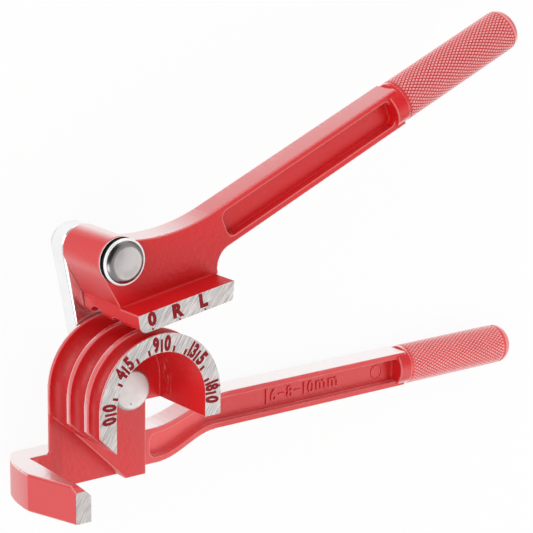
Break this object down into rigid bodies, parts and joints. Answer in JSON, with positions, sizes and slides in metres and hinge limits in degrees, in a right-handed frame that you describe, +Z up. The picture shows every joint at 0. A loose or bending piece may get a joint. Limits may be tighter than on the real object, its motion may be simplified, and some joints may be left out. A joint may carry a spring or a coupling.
{
  "type": "hand tube bender",
  "caption": "Lever tube bender with a grooved half-round die, hook, angle scale and bending shoe, joined by a steel link between pinned handles.",
  "frame": {"origin": "centre of the die pin's flat tail end, on the bend axis, as the bender lies on its back", "axes": "+X along the forming handle towards its grip, +Y across the handles towards the shoe handle, +Z up from the bench along the bend axis, out of the scale's face"},
  "size_m": [0.2131, 0.14, 0.0427],
  "materials": {
    "red_enamel": "semi-gloss red enamel on cast aluminium, bare where it is milled",
    "steel": "bright plated steel"
  },
  "bodies": {
    "forming_handle": {"forming_handle": "red_enamel"},
    "link": {"link": "steel", "die_pin": "steel", "handle_pin": "steel", "die_spacer": "steel", "handle_spacer": "steel", "die_back_washer": "steel", "handle_back_washer": "steel", "die_collar": "steel", "handle_collar": "steel"},
    "shoe_handle": {"shoe_handle": "red_enamel"}
  },
  "joints": [
    {"name": "link_swing", "type": "hinge", "parent": "forming_handle", "child": "link", "pos_m": [0, 0, 0], "axis": [0, 0, 1], "range_deg": [-101, 79]},
    {"name": "handle_swing", "type": "hinge", "parent": "link", "child": "shoe_handle", "pos_m": [-0.00855, 0.04398, 0], "axis": [0, 0, 1], "range_deg": [-8, 100]}
  ]
}
